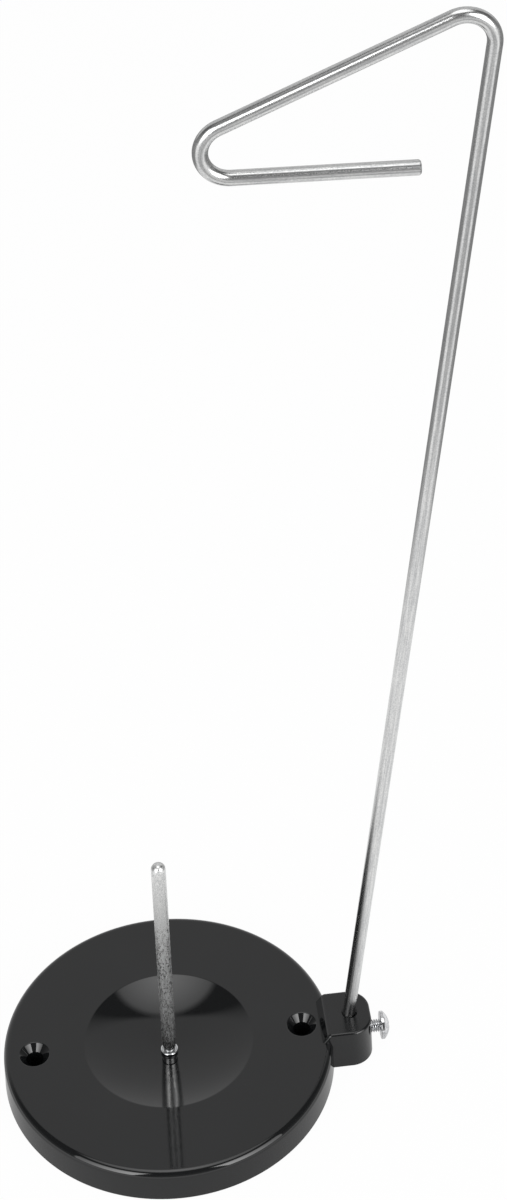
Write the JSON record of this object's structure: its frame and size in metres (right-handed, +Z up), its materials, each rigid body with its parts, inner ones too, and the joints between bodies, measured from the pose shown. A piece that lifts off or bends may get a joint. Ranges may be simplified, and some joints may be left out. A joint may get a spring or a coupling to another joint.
{
  "type": "thread stand",
  "caption": "Round moulded base with an upright spool pin and a leaning wire guide, clamped in a lug on the rim, whose bent eye leads thread up off the spool.",
  "frame": {"origin": "centre of the base's underside, midway between the table screw holes", "axes": "+X towards the lug with the wire guide, +Z up along the spool pin, +Y by the right-hand rule"},
  "size_m": [0.1424, 0.1004, 0.3575],
  "materials": {
    "base": "glossy black moulding",
    "spool_pin": "bright plated steel",
    "pin_ferrule": "bright plated steel",
    "pin_washer": "zinc plated steel",
    "pin_nut": "zinc plated steel",
    "guide_rod": "plated drawn steel wire",
    "clamp_screw": "bright plated steel",
    "clamp_nut": "zinc plated steel"
  },
  "bodies": {
    "stand": {"base": "base", "spool_pin": "spool_pin", "pin_ferrule": "pin_ferrule", "pin_washer": "pin_washer", "pin_nut": "pin_nut", "clamp_nut": "clamp_nut"},
    "guide": {"guide_rod": "guide_rod"},
    "screw": {"clamp_screw": "clamp_screw"}
  },
  "joints": [
    {"name": "guide_swivel", "type": "hinge", "parent": "stand", "child": "guide", "pos_m": [0.0552, 0, 0.0141], "axis": [0.1045, 0, 0.9945], "continuous": true},
    {"name": "clamp_turn", "type": "hinge", "parent": "stand", "child": "screw", "pos_m": [0.0622, 0, 0.0065], "axis": [1, 0, 0], "range_deg": [0, 720]}
  ]
}
